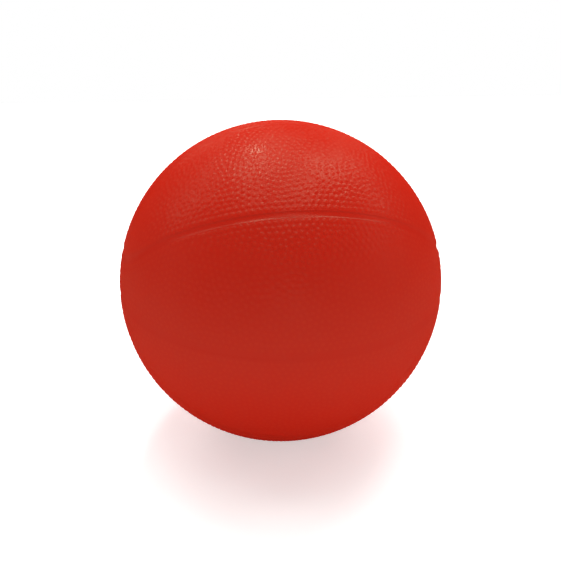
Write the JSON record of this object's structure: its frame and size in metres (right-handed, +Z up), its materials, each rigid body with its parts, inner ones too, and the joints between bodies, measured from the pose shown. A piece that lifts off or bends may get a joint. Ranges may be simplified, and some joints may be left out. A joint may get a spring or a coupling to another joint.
{
  "type": "dodgeball",
  "caption": "Round inflatable play ball with a soft moulded skin, sunk channels in the basketball lining and a self-closing needle valve at the back.",
  "frame": {"origin": "centre of the ball", "axes": "+Z up, square to the level channel; +X towards one crossing of the level and the upright channel; +Y back along the axis of the valve, out of its mouth; -Y is the front"},
  "size_m": [0.2158, 0.2157, 0.216],
  "materials": {
    "skin": "satin, soft plasticised vinyl with moulded pebbles",
    "valve_housing": "smooth moulded soft vinyl",
    "valve_core": "matt moulded rubber"
  },
  "bodies": {
    "root": {"ball_shell": "skin", "valve_housing": "valve_housing", "valve_core": "valve_core"}
  },
  "joints": []
}
